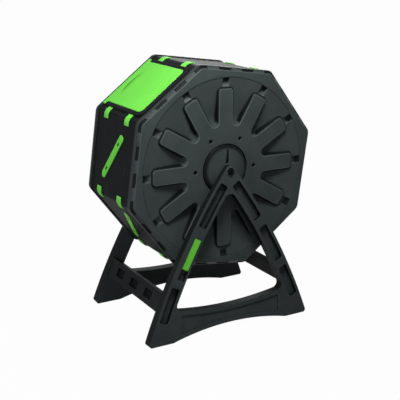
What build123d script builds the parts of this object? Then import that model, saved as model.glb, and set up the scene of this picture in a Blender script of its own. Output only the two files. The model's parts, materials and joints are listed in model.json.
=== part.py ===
from build123d import *
import os
from math import asin, atan2, cos, degrees, hypot, radians, sin, sqrt, tan

os.makedirs("parts", exist_ok=True)

# Compost tumbler: an eight-sided drum that turns on a steel axle between two A-shaped stands.
# World frame: X to the right, Y along the axle towards the back, Z up, floor at Z = 0.

# Drum
drum_across_flats = 550.0
drum_length = 286.0
drum_sides = 8
drum_turn = -7.5
edge_round = 24.0
panel_wall = 3.5
skirt_wall = 3.5
skirt_width = 12.0
bevel_width = 10.0
bevel_depth = 11.0
end_wall = 4.0
seat_gap = 0.2
seam_gap = 0.8
body_gap = 0.6

# Star pressed into each end panel
rim_border = 25.0
finger_count = 12
finger_width = 45.0
finger_corner = 9.5
finger_tip_border = 29.0
root_round = 12.0
floor_edge_depth = 3.0
floor_deep_radius = 150.0
floor_deep_depth = 15.0
scoop_border = 11.0
scoop_length = 27.0
scoop_width = 20.0
scoop_depth = 8.0
air_hole_count = 6
air_hole_circle = 93.0
air_hole_diameter = 10.0

# Slots let into the bevel of each end panel
rim_slot_length = 37.0
rim_slot_offset = 37.0
rim_slot_width = 8.0
rim_slot_depth = 2.4
corner_slot_reach = 22.0

# Axle and hubs
axle_height = 457.0
axle_diameter = 22.0
axle_wall = 1.5
axle_fit = 0.08
axle_proud = 3.0
plug_length = 15.0
plug_inset = 1.0
hub_radius = 69.0
hub_ring_gap = 5.0
hub_seat_depth = 7.0
hub_clearance = 2.0
hub_edge_height = 3.0
hub_slit_inner = 19.0
hub_slit_outer = 52.0
hub_slit_wide = 8.0
hub_slit_narrow = 3.0
hub_slit_depth = 3.0
hub_sleeve_wall = 5.0
hub_sleeve_length = 24.0

# Mixing bars, through all plain side panels but the top one
bar_slant = 52.7
bar_length = 138.0
bar_width = 23.0
bar_proud = 3.0
bar_slot_spacing = 96.0
bar_slot_length = 14.0
bar_slot_width = 8.0
blade_wall = 6.0
blade_depth = 42.0
blade_round = 18.0

# Clips that bridge the long edges
clip_width = 23.0
clip_spacing = 128.0
clip_wall = 3.0
clip_reach = 17.0

# Door and its frame
door_clip_margin = 1.2
rail_width = 11.0
rail_height = 6.0
door_slack = 0.8
door_wall = 6.0
door_corner = 14.0
door_overlap = 9.0
door_lip_wall = 3.0
door_lip_depth = 8.0
door_lip_slack = 1.2
door_flange_length = 15.0
door_strip_width = 19.0
grip_chord = 110.0
grip_bulge = 19.0
grip_depth = 3.5
grip_end_margin = 12.0

# A-shaped stands, thicker and further apart at the feet than at the axle
drum_stand_gap = 10.0
boss_wall = 16.0
foot_gap = 19.0
foot_wall = 28.0
boss_radius = 15.0
shoulder_angle = 36.0
foot_reach = 262.0
heel_reach = 186.0
toe_round = 8.0
arch_height = 24.0
leg_bow = 20.0
leg_width = 44.0
leg_border = 9.0
window_side_height = 91.0
window_bottom_height = 75.0
window_apex_round = 20.0
window_corner_round = 16.0
pocket_depth = 12.0
pocket_corner = 5.0
pocket_top_drop = 36.0
upper_pocket_height = 110.0
middle_pocket_height = 106.0
lower_pocket_height = 93.0
pocket_rib = 25.0
centre_rib = 14.0
arch_border = 13.0
arch_panel_half = 160.0
arch_panel_depth = 2.5

# Lock slider in the front left leg
lock_length = 90.0
lock_width = 21.0
lock_wall = 8.0
lock_inset = 0.8
lock_travel = 30.0
lock_slack = 0.8
lock_top_drop = 171.0
lock_shift = 6.0
lock_neck_length = 24.0
lock_neck_width = 10.0
lock_nose_side = 3.0
lock_nose_wall = 4.0

# Spreader beams between the stands
beam_height = 56.0
beam_wall = 14.0
beam_inset = 4.0
beam_mid_height = 116.0
beam_lip_height = 6.0
beam_pocket_count = 3
beam_pocket_length = 44.0
beam_pocket_height = 26.0
beam_pocket_pitch = 88.0
beam_pocket_depth = 6.0
beam_pocket_corner = 5.0
tenon_length = 10.0
tenon_height = 28.0
tenon_wall = 6.0

# Worked-out places
side_angle = 360 / drum_sides
finger_pitch = 360 / finger_count
star_turn = finger_pitch / 4
skirt_inradius = drum_across_flats / 2
panel_inradius = skirt_inradius - skirt_wall - seat_gap
face_level = drum_length / 2
bevel_level = face_level - bevel_depth
inner_level = face_level - end_wall
skirt_edge = bevel_level - skirt_width
side_half = inner_level - bevel_depth - seat_gap
half_side = skirt_inradius * tan(radians(side_angle / 2))
panel_half_side = panel_inradius * tan(radians(side_angle / 2))
panel_round = edge_round - skirt_wall - seat_gap
axle_radius = axle_diameter / 2
hub_rise = drum_stand_gap - hub_clearance
floor_edge_radius = skirt_inradius - rim_border
finger_tip_radius = floor_edge_radius - finger_tip_border
scoop_radius = floor_edge_radius - scoop_border
finger_root = finger_width / 2 / sin(radians(finger_pitch / 2))
root_radius = finger_root + root_round * (1 / sin(radians(finger_pitch / 2)) - 1)
top_inner = face_level + drum_stand_gap
top_outer = top_inner + boss_wall
foot_inner = face_level + foot_gap
foot_outer = foot_inner + foot_wall
inner_lean = atan2(foot_inner - top_inner, axle_height)
outer_lean = atan2(foot_outer - top_outer, axle_height)
axle_rise = axle_height / cos(outer_lean)
axle_end = top_outer + axle_proud
door_half = panel_half_side - clip_reach - door_clip_margin - rail_width - door_slack
door_back = skirt_edge - body_gap
door_front = skirt_edge - seat_gap - door_strip_width - door_slack

# Frames: on the drum X is right, Y is up and Z is forwards from the drum's middle
drum_frame = Plane(origin=(0, 0, axle_height), x_dir=(1, 0, 0), z_dir=(0, -1, 0))
# On a stand X is right, Y runs up its leaning outer face and Z is outwards from that face
stand_frame = Plane(
    origin=(0, -foot_outer, 0), x_dir=(1, 0, 0), z_dir=(0, -cos(outer_lean), sin(outer_lean))
)


def on_drum(shape, turn=0.0):
    """Place a shape of the drum's own frame, turned about the axle, in its rest position"""
    return drum_frame.location * Rot(0, 0, drum_turn + turn) * shape


def on_panel(level):
    """Plane on the top side at a distance from the axle: X forwards, Y across the side, Z outwards"""
    return Plane(origin=(0, level, 0), x_dir=(0, 0, 1), z_dir=(0, 1, 0))


def save(name, shape):
    """Write one node"""
    shape.label = name
    export_step(shape, f"parts/{name}.step")


def save_both_ends(name, front):
    """Write the front piece and its mirror image at the back"""
    save(f"front_{name}", front)
    save(f"rear_{name}", mirror(front, about=Plane.XZ))


def octagon(inradius, rounding, turn=0.0):
    """Rounded eight-sided outline with one flat at the top"""
    sharp = RegularPolygon(inradius, drum_sides, major_radius=False, rotation=side_angle / 2)
    return Rot(0, 0, turn) * fillet(sharp.vertices(), rounding)


def spread(count, first, shape):
    """Copies of a shape spaced evenly round the axle"""
    return [Rot(0, 0, first + 360 / count * i) * shape for i in range(count)]


# End panels: a skirted octagon with a raised star, scooped notches and air holes
def star_outline(shrink):
    """Outline of the star, moved inwards all round by shrink"""
    reach = finger_tip_radius - shrink
    width = finger_width - 2 * shrink
    finger = Pos(reach / 2, 0) * Rectangle(reach, width)
    star = Sketch() + spread(finger_count, star_turn, finger)
    tips = [v for v in star.vertices() if hypot(v.X, v.Y) > reach - finger_corner]
    star = fillet(tips, finger_corner - shrink)
    roots = [v for v in star.vertices() if hypot(v.X, v.Y) < floor_deep_radius]
    return fillet(roots, root_round + shrink)


def hollow_between_fingers(wall):
    """Recess between the fingers, its floor falling towards the hub, grown by a wall thickness"""
    edge = floor_edge_radius + wall
    root = root_radius - wall
    section = Polygon(
        (root, face_level),
        (edge, face_level),
        (edge, face_level - floor_edge_depth - wall),
        (floor_deep_radius, face_level - floor_deep_depth - wall),
        align=None,
    )
    ring = revolve(Plane.XZ * section, Axis.Z)
    return ring - extrude(star_outline(wall), face_level + wall)


def scoops(wall):
    """Cylindrical notches past the finger tips, grown by a wall thickness"""
    floor_level = face_level - floor_edge_depth
    radius = (scoop_length**2 / 4 + scoop_depth**2) / (2 * scoop_depth)
    drum = Cylinder(radius + wall, scoop_width + 2 * wall, rotation=(90, 0, 0))
    centre = Pos(scoop_radius, 0, floor_level - scoop_depth + radius)
    return spread(finger_count, star_turn, centre * drum)


def rim_slots():
    """Shallow slots in the bevel: two along each side and one round each corner"""
    middle = Vector(0, skirt_inradius - bevel_width / 2, face_level - bevel_depth / 2)
    bevel = Plane(origin=middle, x_dir=(1, 0, 0), z_dir=(0, bevel_depth, bevel_width))
    slot = Box(rim_slot_length, rim_slot_width, 2 * rim_slot_depth)
    corner = Box(2 * corner_slot_reach, rim_slot_width, 2 * rim_slot_depth)
    spots = [(rim_slot_offset, slot), (-rim_slot_offset, slot), (half_side, corner), (-half_side, corner)]
    one_side = [bevel.location * Pos(x, 0, 0) * shape for x, shape in spots]
    return [cut for shape in one_side for cut in spread(drum_sides, 0, shape)]


def bevelled(inradius, rounding, top, bottom):
    """Octagonal block with its top edge chamfered like the rim"""
    block = extrude(Pos(0, 0, bottom) * octagon(inradius, rounding), top - bottom)
    rim = block.faces().sort_by(Axis.Z)[-1]
    return chamfer(rim.outer_wire().edges(), bevel_depth, bevel_width, reference=rim)


def end_panel():
    """One end of the drum, looking forwards"""
    bottom = bevel_level - skirt_width
    shell = bevelled(skirt_inradius, edge_round, face_level, bottom)
    shell -= bevelled(skirt_inradius - skirt_wall, edge_round - skirt_wall, inner_level, bottom - end_wall)
    seat_radius = hub_radius + hub_ring_gap
    seat = Cylinder(seat_radius, hub_seat_depth, align=(Align.CENTER, Align.CENTER, Align.MAX))
    backing = Cylinder(
        seat_radius + end_wall, hub_seat_depth + end_wall, align=(Align.CENTER, Align.CENTER, Align.MAX)
    )
    sleeve = Cylinder(
        axle_radius + seat_gap + hub_sleeve_wall,
        hub_sleeve_length,
        align=(Align.CENTER, Align.CENTER, Align.MAX),
    )
    below_face = Pos(0, 0, bottom - hub_sleeve_length) * Cylinder(
        skirt_inradius,
        face_level - bottom + hub_sleeve_length,
        align=(Align.CENTER, Align.CENTER, Align.MIN),
    )
    shell += hollow_between_fingers(end_wall)
    shell += [part & below_face for part in scoops(end_wall)]
    shell += Pos(0, 0, face_level) * backing
    shell += Pos(0, 0, inner_level) * sleeve
    shell -= hollow_between_fingers(0)
    shell -= scoops(0)
    shell -= Pos(0, 0, face_level) * seat
    shell -= Cylinder(axle_radius + seat_gap, 2 * drum_length)
    shell -= rim_slots()
    hole = Pos(air_hole_circle, 0, face_level) * Cylinder(air_hole_diameter / 2, 4 * floor_deep_depth)
    shell -= spread(air_hole_count, star_turn, hole)
    return shell


# Hub caps: shallow domes round the axle, with a tapering slit above it
def hub_cap():
    base = face_level - hub_seat_depth + seat_gap
    bore = axle_radius + seat_gap
    edge = base + hub_edge_height
    crown = face_level + hub_rise
    centre_line = (crown - edge, hub_radius - bore)
    sphere = (centre_line[0] ** 2 + centre_line[1] ** 2) / (2 * centre_line[0])
    dome = RadiusArc((hub_radius, edge), (bore, crown), -sphere)
    outline = [
        Line((bore, crown), (bore, base)),
        Line((bore, base), (hub_radius, base)),
        Line((hub_radius, base), (hub_radius, edge)),
        dome,
    ]
    cap = revolve(Plane.XZ * make_face(outline), Axis.Z)
    slit = Polygon(
        (hub_slit_inner, -hub_slit_wide / 2),
        (hub_slit_outer, -hub_slit_narrow / 2),
        (hub_slit_outer, hub_slit_narrow / 2),
        (hub_slit_inner, hub_slit_wide / 2),
        align=None,
    )
    cut = extrude(Pos(0, 0, crown - hub_slit_depth - hub_rise / 2) * slit, hub_rise)
    return cap - Rot(0, 0, star_turn + 90) * cut


# Side panels: strips of a rounded eight-sided tube
def side_strip():
    """One side of the drum, its long edges bent half way round the corners"""
    outside = octagon(panel_inradius, panel_round)
    inside = octagon(panel_inradius - panel_wall, panel_round - panel_wall)
    apex = seam_gap / 2 / sin(radians(side_angle / 2))
    spread_at_rim = skirt_inradius * tan(radians(side_angle / 2))
    wedge = Polygon(
        (0, apex),
        (spread_at_rim, skirt_inradius + apex),
        (-spread_at_rim, skirt_inradius + apex),
        align=None,
    )
    section = (outside - inside) & wedge
    return extrude(Pos(0, 0, -side_half) * section, 2 * side_half)


def bar_section(length, width):
    """Slanted rectangle on a side panel"""
    return Rot(0, 0, bar_slant) * Rectangle(length, width)


def barred_panel():
    """Plain side with the slanted slot for its mixing bar"""
    slot = bar_section(bar_length + 2 * seat_gap, blade_wall + 2 * seat_gap)
    cut = extrude(on_panel(panel_inradius - 2 * panel_wall) * slot, 4 * panel_wall)
    return side_strip() - cut


def mixing_bar():
    """Slanted strip outside with a blade that reaches into the drum"""
    strip = Rot(0, 0, bar_slant) * SlotCenterToCenter(bar_length, bar_width)
    strip -= [
        Rot(0, 0, bar_slant) * Pos(x, 0) * Rectangle(bar_slot_length, bar_slot_width)
        for x in (-bar_slot_spacing / 2, bar_slot_spacing / 2)
    ]
    seat = panel_inradius + seat_gap
    cover = extrude(on_panel(seat) * strip, bar_proud)
    depth = seat - panel_inradius + panel_wall + blade_depth
    side = Pos(0, -depth / 2) * Rectangle(bar_length, depth)
    lower = side.vertices().sort_by(Axis.Y)[:2]
    blade = extrude(Plane.XZ * fillet(lower, blade_round), blade_wall / 2, both=True)
    turned = Plane(origin=(0, 0, 0), x_dir=(1, 0, 0), z_dir=(0, 0, 1)).location * Rot(0, 0, bar_slant) * blade
    return cover + on_panel(seat).location * turned


# Clips: strips bent round a long edge of the drum, two to an edge
def corner_clips():
    """The two clips of the edge between the top side and the side before it"""
    inner = panel_inradius + seat_gap
    band = octagon(inner + clip_wall, panel_round + clip_wall, side_angle / 2)
    band -= octagon(inner, panel_round, side_angle / 2)
    reach = 2 * clip_reach * cos(radians(side_angle / 2))
    band &= Pos(0, skirt_inradius) * Rectangle(reach, skirt_inradius)
    clip = extrude(Pos(0, 0, -clip_width / 2) * band, clip_width)
    return Compound([Pos(0, 0, z) * clip for z in (-clip_spacing / 2, clip_spacing / 2)])


# Door and the side panel that frames it
def between(u0, u1, v):
    """Rectangle on the door's side from u0 to u1 along the axle, v to each side"""
    return Pos((u0 + u1) / 2, 0) * Rectangle(u1 - u0, 2 * v)


def rounded(sketch, radius):
    """The same outline with all its corners rounded"""
    return fillet(sketch.vertices(), radius)


def front_rounded(sketch, radius):
    """The same outline with its two front corners rounded"""
    return fillet(sketch.vertices().sort_by(Axis.X)[-2:], radius)


opening_front = door_front - door_overlap
opening_back = -(door_back - door_flange_length - door_overlap)
opening_half = door_half - door_overlap


def door_frame():
    """Side panel with the loading opening and the raised rails round three of its edges"""
    hole = rounded(between(opening_back, opening_front, opening_half), door_corner)
    rails_back = -(door_back - door_flange_length) + door_slack
    outer = between(rails_back, door_front + door_slack + door_strip_width, door_half + door_slack + rail_width)
    inner = between(rails_back, door_front + door_slack, door_half + door_slack)
    rails = front_rounded(outer, door_corner + rail_width) - front_rounded(inner, door_corner + door_slack)
    frame = side_strip() + extrude(on_panel(panel_inradius) * rails, rail_height)
    return frame - extrude(on_panel(panel_inradius - 2 * panel_wall) * hole, 4 * panel_wall)


def finger_grip():
    """Disc sector that ramps down to an arc, for the front end of the door"""
    radius = (grip_chord**2 / 4 + grip_bulge**2) / (2 * grip_bulge)
    tilt = degrees(atan2(grip_depth, grip_bulge))
    disc = Cylinder(radius, 2 * grip_bulge, align=(Align.CENTER, Align.CENTER, Align.MIN))
    return Rot(0, tilt, 0) * Pos(grip_bulge - radius, 0, 0) * disc


def door():
    """Door plate with a wide back flange, a lip that drops into the opening and two finger grips"""
    seat = panel_inradius + body_gap
    flange_front = -(door_back - door_flange_length)
    plate = front_rounded(between(flange_front, door_front, door_half), door_corner)
    flange = between(-door_back, flange_front, door_half + rail_width)
    leaf = extrude(on_panel(seat) * (plate + rounded(flange, door_lip_wall)), door_wall)
    lip = rounded(
        between(opening_back + door_lip_slack, opening_front - door_lip_slack, opening_half - door_lip_slack),
        door_corner,
    )
    lip -= offset(lip, -door_lip_wall)
    leaf += extrude(on_panel(seat) * lip, -door_lip_depth)
    top = on_panel(seat + door_wall).location
    front = Pos(door_front - grip_end_margin - grip_bulge, 0, 0) * finger_grip()
    back = Pos(flange_front + grip_end_margin + grip_bulge, 0, 0) * Rot(0, 0, 180) * finger_grip()
    return leaf - [top * front, top * back]


# Axle: a steel tube through the drum with a plug in each end
def axle_tube():
    return Cylinder(axle_radius, 2 * axle_end) - Cylinder(axle_radius - axle_wall, 2 * axle_end)


def axle_plug():
    radius = axle_radius - axle_wall - seat_gap / 2
    block = Cylinder(radius, plug_length, align=(Align.CENTER, Align.CENTER, Align.MAX))
    return Pos(0, 0, axle_end - plug_inset) * block


# Stands: the right leg's outer edge is an arc from the toe to the boss round the axle
toe = Vector(foot_reach, 0)
shoulder = Vector(
    boss_radius * cos(radians(shoulder_angle)), axle_rise + boss_radius * sin(radians(shoulder_angle))
)
leg_chord = shoulder - toe
leg_outward = Vector(leg_chord.Y, -leg_chord.X).normalized()
bow_point = (toe + shoulder) / 2 + leg_outward * leg_bow
leg_arc = ThreePointArc(toe, bow_point, shoulder)
leg_centre = leg_arc.arc_center
leg_radius = leg_arc.radius
leg_inner_radius = leg_radius - leg_width
leg_mid_radius = leg_radius - leg_width / 2


def on_leg(radius, height):
    """Point at a height on an arc about the right leg's centre"""
    return Vector(leg_centre.X + sqrt(radius**2 - (height - leg_centre.Y) ** 2), height)


def leg_angle(radius, height):
    """Angle of that point about the leg's centre, in degrees"""
    return degrees(asin((height - leg_centre.Y) / radius))


def wall_at(height):
    """Thickness of a stand at a height"""
    return foot_wall - (foot_wall - boss_wall) * height / axle_height


def stand_room(gap):
    """Space above the floor and in front of the front stand's inner face, moved back by a gap"""
    inner_face = Plane(
        origin=(0, gap - foot_inner, 0), x_dir=(1, 0, 0), z_dir=(0, -cos(inner_lean), sin(inner_lean))
    )
    ahead = Box(4 * foot_reach, 4 * axle_height, 4 * foot_wall, align=(Align.CENTER, Align.CENTER, Align.MIN))
    above = Box(4 * foot_reach, 4 * axle_height, 2 * axle_height, align=(Align.CENTER, Align.CENTER, Align.MIN))
    return (inner_face.location * ahead) & above


def flipped(point):
    """The same point on the left leg"""
    return Vector(-point.X, point.Y)


window_top = Vector(0, leg_centre.Y + sqrt(leg_inner_radius**2 - leg_centre.X**2))
window_right = on_leg(leg_inner_radius, window_side_height)
window_mid = on_leg(leg_inner_radius, (window_top.Y + window_side_height) / 2)
heel = Vector(heel_reach, 0)
arch_arc = ThreePointArc(flipped(heel), (0, arch_height), heel)
sill_arc = ThreePointArc(flipped(window_right), (0, window_bottom_height), window_right)


def frame_outline():
    """Outline of a stand, standing on two soles with an arch between them"""
    edges = [
        leg_arc,
        Line(shoulder, flipped(shoulder)),
        ThreePointArc(flipped(shoulder), flipped(bow_point), flipped(toe)),
        Line(flipped(toe), flipped(heel)),
        arch_arc,
        Line(heel, toe),
    ]
    outline = make_face(edges) + Pos(0, axle_rise) * Circle(boss_radius)
    toes = [v for v in outline.vertices() if abs(v.X) > foot_reach - toe_round]
    return fillet(toes, toe_round)


def frame_window():
    """Opening between the legs and the cross piece, with rounded corners"""
    edges = [
        ThreePointArc(window_top, window_mid, window_right),
        sill_arc,
        ThreePointArc(flipped(window_right), flipped(window_mid), window_top),
    ]
    low = sorted(make_face(edges).vertices(), key=lambda v: v.Y)
    window = fillet(low[:2], window_corner_round)
    return fillet(window.vertices().sort_by(Axis.Y)[-1], window_apex_round)


def leg_pocket(top, height):
    """Recess along the right leg from a height downwards"""
    first = leg_angle(leg_mid_radius, top - height)
    turn = leg_angle(leg_mid_radius, top) - first
    outer = CenterArc(leg_centre, leg_radius - leg_border, first, turn)
    inner = CenterArc(leg_centre, leg_inner_radius + leg_border, first, turn)
    pocket = make_face([outer, Line(outer @ 1, inner @ 1), inner, Line(inner @ 0, outer @ 0)])
    return rounded(pocket - Pos(0, top) * Rectangle(centre_rib, 2 * height), pocket_corner)


upper_top = axle_rise - pocket_top_drop
middle_top = upper_top - upper_pocket_height - pocket_rib
lower_top = middle_top - middle_pocket_height - pocket_rib
upper_pocket = leg_pocket(upper_top, upper_pocket_height)
middle_pocket = leg_pocket(middle_top, middle_pocket_height)
lower_pocket = leg_pocket(lower_top, lower_pocket_height)


def arch_panel():
    """Shallow recess along the cross piece"""
    band = Pos(0, window_side_height / 2) * Rectangle(2 * arch_panel_half, window_side_height)
    band -= Pos(arch_arc.arc_center) * Circle(arch_arc.radius + arch_border)
    band -= Pos(sill_arc.arc_center) * Circle(sill_arc.radius + arch_border)
    return rounded(band, pocket_corner)


# Lock slider: it runs down a slot along the front left leg
lock_radius = leg_mid_radius - lock_shift
lock_mid = on_leg(lock_radius, axle_rise - lock_top_drop - lock_length / 2)
lock_down = radians(leg_angle(lock_radius, lock_mid.Y) + 90)
lock_frame = Plane(
    origin=(-lock_mid.X, lock_mid.Y, 0), x_dir=(cos(lock_down), -sin(lock_down), 0), z_dir=(0, 0, 1)
)


def lock_run(length, width, depth, floor):
    """Block that a lock part of this size sweeps over its travel, with slack all round"""
    long = length + lock_travel + 2 * lock_slack
    block = Box(long, width + 2 * lock_slack, depth, align=(Align.CENTER, Align.CENTER, Align.MIN))
    return lock_frame.location * Pos(lock_travel / 2, 0, floor) * block


lock_recess_depth = lock_inset + lock_wall + lock_slack
lock_lowest = lock_mid.Y - lock_travel - lock_neck_length


def lock_slider():
    plate = Box(lock_length, lock_width, lock_wall, align=(Align.CENTER, Align.CENTER, Align.MAX))
    rim = plate.faces().sort_by(Axis.Z)[-1].edges()
    slider = Pos(0, 0, -lock_inset) * fillet(rim, lock_inset)
    neck_depth = wall_at(lock_lowest) + lock_slack
    slider += Box(
        lock_neck_length,
        lock_neck_width,
        neck_depth - lock_inset - lock_wall / 2,
        align=(Align.CENTER, Align.CENTER, Align.MIN),
    ).moved(Pos(0, 0, -neck_depth))
    slider += Box(
        lock_neck_length,
        lock_neck_width + 2 * lock_nose_side,
        lock_nose_wall,
        align=(Align.CENTER, Align.CENTER, Align.MAX),
    ).moved(Pos(0, 0, -neck_depth))
    return lock_frame.location * slider


# Spreader beams: planks along the legs' outer edges, tenoned into both stands
beam_spot = on_leg(leg_radius, beam_mid_height)
beam_lean = radians(leg_angle(leg_radius, beam_mid_height))
beam_out = Vector(cos(beam_lean), 0, sin(beam_lean))
beam_half = foot_inner - beam_mid_height * tan(inner_lean)
beam_frame = Plane(
    origin=Vector(beam_spot.X, 0, beam_spot.Y) - beam_out * beam_inset, x_dir=(0, 1, 0), z_dir=beam_out
)


def tenon_block(length, slack):
    """Tongue through the beam's whole length, or with slack the space for it"""
    block = Box(length, tenon_height + 2 * slack, tenon_wall + 2 * slack)
    return Pos(0, 0, -beam_wall / 2) * block


def spreader_beam():
    """Right beam with three recesses outside and a lip along its top edge"""
    length = 2 * (beam_half + tenon_length)
    plank = Box(length, beam_height, beam_wall, align=(Align.CENTER, Align.CENTER, Align.MAX))
    lip = Box(length, beam_lip_height, beam_inset, align=(Align.CENTER, Align.MAX, Align.MIN))
    pocket = Pos(0, 0, -beam_pocket_depth) * extrude(
        rounded(Rectangle(beam_pocket_length, beam_pocket_height), beam_pocket_corner), beam_pocket_depth
    )
    first = -(beam_pocket_count - 1) / 2 * beam_pocket_pitch
    plank += Pos(0, beam_height / 2, 0) * lip
    plank -= [Pos(first + beam_pocket_pitch * i, 0, 0) * pocket for i in range(beam_pocket_count)]
    room = stand_room(seat_gap)
    beam = beam_frame.location * plank - [room, mirror(room, about=Plane.XZ)]
    return beam + beam_frame.location * tenon_block(length, 0)


def stand_frame_body(left_middle):
    """A stand looking forwards, with or without the middle pocket on its left leg"""
    body = extrude(frame_outline() - frame_window(), -2 * foot_wall)
    right = [upper_pocket, middle_pocket, lower_pocket]
    left = [upper_pocket, lower_pocket] + ([middle_pocket] if left_middle else [])
    pockets = right + [mirror(pocket, about=Plane.YZ) for pocket in left]
    body -= [extrude(pocket, -pocket_depth) for pocket in pockets]
    body -= extrude(arch_panel(), -arch_panel_depth)
    placed = (stand_frame.location * body) & stand_room(0)
    placed -= on_drum(Cylinder(axle_radius + axle_fit, 4 * axle_end))
    mortise = beam_frame.location * tenon_block(2 * (beam_half + tenon_length + seat_gap), seat_gap)
    return placed - [mortise, mirror(mortise, about=Plane.YZ)]


front_frame = stand_frame_body(left_middle=False)
front_frame -= stand_frame.location * lock_run(lock_length, lock_width, lock_recess_depth, -lock_recess_depth)
front_frame -= stand_frame.location * lock_run(lock_neck_length, lock_neck_width, 2 * foot_wall, -2 * foot_wall)
right_beam = spreader_beam()

save("front_a_frame", front_frame)
save("rear_a_frame", mirror(stand_frame_body(left_middle=True), about=Plane.XZ))
save("right_spreader_beam", right_beam)
save("left_spreader_beam", mirror(right_beam, about=Plane.YZ))
save("lock_slider", stand_frame.location * lock_slider())

save_both_ends("end_panel", on_drum(end_panel()))
save_both_ends("hub_cap", on_drum(hub_cap()))
save_both_ends("axle_plug", on_drum(axle_plug()))
save("axle_tube", on_drum(axle_tube()))

# Sides in order round the drum, against the clock seen from the front, from the top
barred_sides = {
    "left": 2,
    "lower_left": 3,
    "bottom": 4,
    "lower_right": 5,
    "right": 6,
    "upper_right": 7,
}
door_side = 1
panel = barred_panel()
bar = mixing_bar()
save("side_panel_top", on_drum(side_strip()))
for side, place in barred_sides.items():
    save(f"side_panel_{side}", on_drum(panel, side_angle * place))
    save(f"mixing_bar_{side}", on_drum(bar, side_angle * place))
save("door_frame_panel", on_drum(door_frame(), side_angle * door_side))
save("door", on_drum(door(), side_angle * door_side))
clips = corner_clips()
for edge in range(drum_sides):
    save(f"corner_clips_{edge + 1}", on_drum(clips, side_angle * edge + side_angle / 2))
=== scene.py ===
# %% [markdown]
# # A compost tumbler, dressed in Blender
#
# The tumbler is an eight-sided plastic drum that turns on a steel axle between two A-shaped stands. Its
# solids come from a CAD model, which is loaded here as a fixed frame. Every cell after this one either
# prepares a tool (camera, light, shader sums, surface grids) or makes one kind of piece. Lengths are
# written in millimetres, as on a drawing, and multiplied by MM where Blender needs metres.

# %% Load the frame
import json
from math import cos, hypot, pi, radians, sin, tan

import bpy
import numpy as np
from mathutils import Matrix, Vector


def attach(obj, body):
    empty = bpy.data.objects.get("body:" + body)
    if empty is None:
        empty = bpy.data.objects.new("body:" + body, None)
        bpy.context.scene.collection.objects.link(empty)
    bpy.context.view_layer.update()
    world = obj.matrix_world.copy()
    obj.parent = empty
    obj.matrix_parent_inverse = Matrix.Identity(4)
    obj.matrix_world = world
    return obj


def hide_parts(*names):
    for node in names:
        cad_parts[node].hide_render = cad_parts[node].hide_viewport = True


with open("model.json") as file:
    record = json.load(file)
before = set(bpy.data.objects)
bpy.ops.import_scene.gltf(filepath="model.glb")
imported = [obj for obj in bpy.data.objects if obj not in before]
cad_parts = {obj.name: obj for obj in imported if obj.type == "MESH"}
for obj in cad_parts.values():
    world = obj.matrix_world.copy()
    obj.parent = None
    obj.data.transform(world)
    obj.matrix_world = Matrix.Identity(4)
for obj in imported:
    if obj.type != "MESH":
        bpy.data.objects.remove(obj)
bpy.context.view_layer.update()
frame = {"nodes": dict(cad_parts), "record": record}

MM = 0.001

# %% [markdown]
# ## Camera
#
# The photograph was taken from the left, a little above the axle, with a long lens. A camera that
# stands at the same place with the same angle of view gives the same picture. The place could be found
# by trial; here it comes from fitting the drum's octagon and the two stands to the photograph.

# %% Camera
VIEW_TURN, VIEW_DROP, VIEW_ROLL = -30.27, 16.24, 0.43
LENS, SENSOR = 77.1, 36
CAMERA_PLACE = (-1202.0, -2067.6, 1029.4)


def rotation(angle, axis):
    """Rotation about an axis by an angle in degrees"""
    return Matrix.Rotation(radians(angle), 3, axis)


camera = bpy.data.objects.new("camera", bpy.data.cameras.new("camera"))
camera.data.sensor_width = SENSOR
camera.data.lens = LENS
camera.location = Vector(CAMERA_PLACE) * MM
looking = rotation(VIEW_TURN, "Z") @ rotation(90 - VIEW_DROP, "X") @ rotation(VIEW_ROLL, "Z")
camera.rotation_euler = looking.to_euler()
bpy.context.scene.collection.objects.link(camera)
bpy.context.scene.camera = camera
bpy.context.scene.view_settings.view_transform = "Standard"
print("camera at", tuple(camera.location))

# %% [markdown]
# ## Shader sums
#
# A finish is a small network of shader nodes. Wiring nodes one by one hides the idea behind a page of
# links, so a Wire stands for one output and understands +, - and *. Writing 1 - mask then adds the Math
# node by itself. Every node is made by Finish.node, which takes the node's type, its settings and what
# goes into its sockets. The white surroundings are wired in the same way.

# %% Shader sums
PRINCIPLED = "Principled BSDF"


class Wire:
    """One output of a node; an operator adds the Math node that works it out"""

    def __init__(self, finish, socket):
        """Keep the finish that owns the node, and the output"""
        self.finish = finish
        self.socket = socket

    def sum(self, operation, first, second):
        """Math node for one operation on two values"""
        return self.finish.node("ShaderNodeMath", {"operation": operation}, {0: first, 1: second})

    def __add__(self, other):
        """This value plus the other"""
        return self.sum("ADD", self, other)

    def __sub__(self, other):
        """This value less the other"""
        return self.sum("SUBTRACT", self, other)

    def __rsub__(self, other):
        """The other value less this one"""
        return self.sum("SUBTRACT", other, self)

    def __mul__(self, other):
        """This value times the other"""
        return self.sum("MULTIPLY", self, other)

    __radd__ = __add__
    __rmul__ = __mul__


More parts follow.
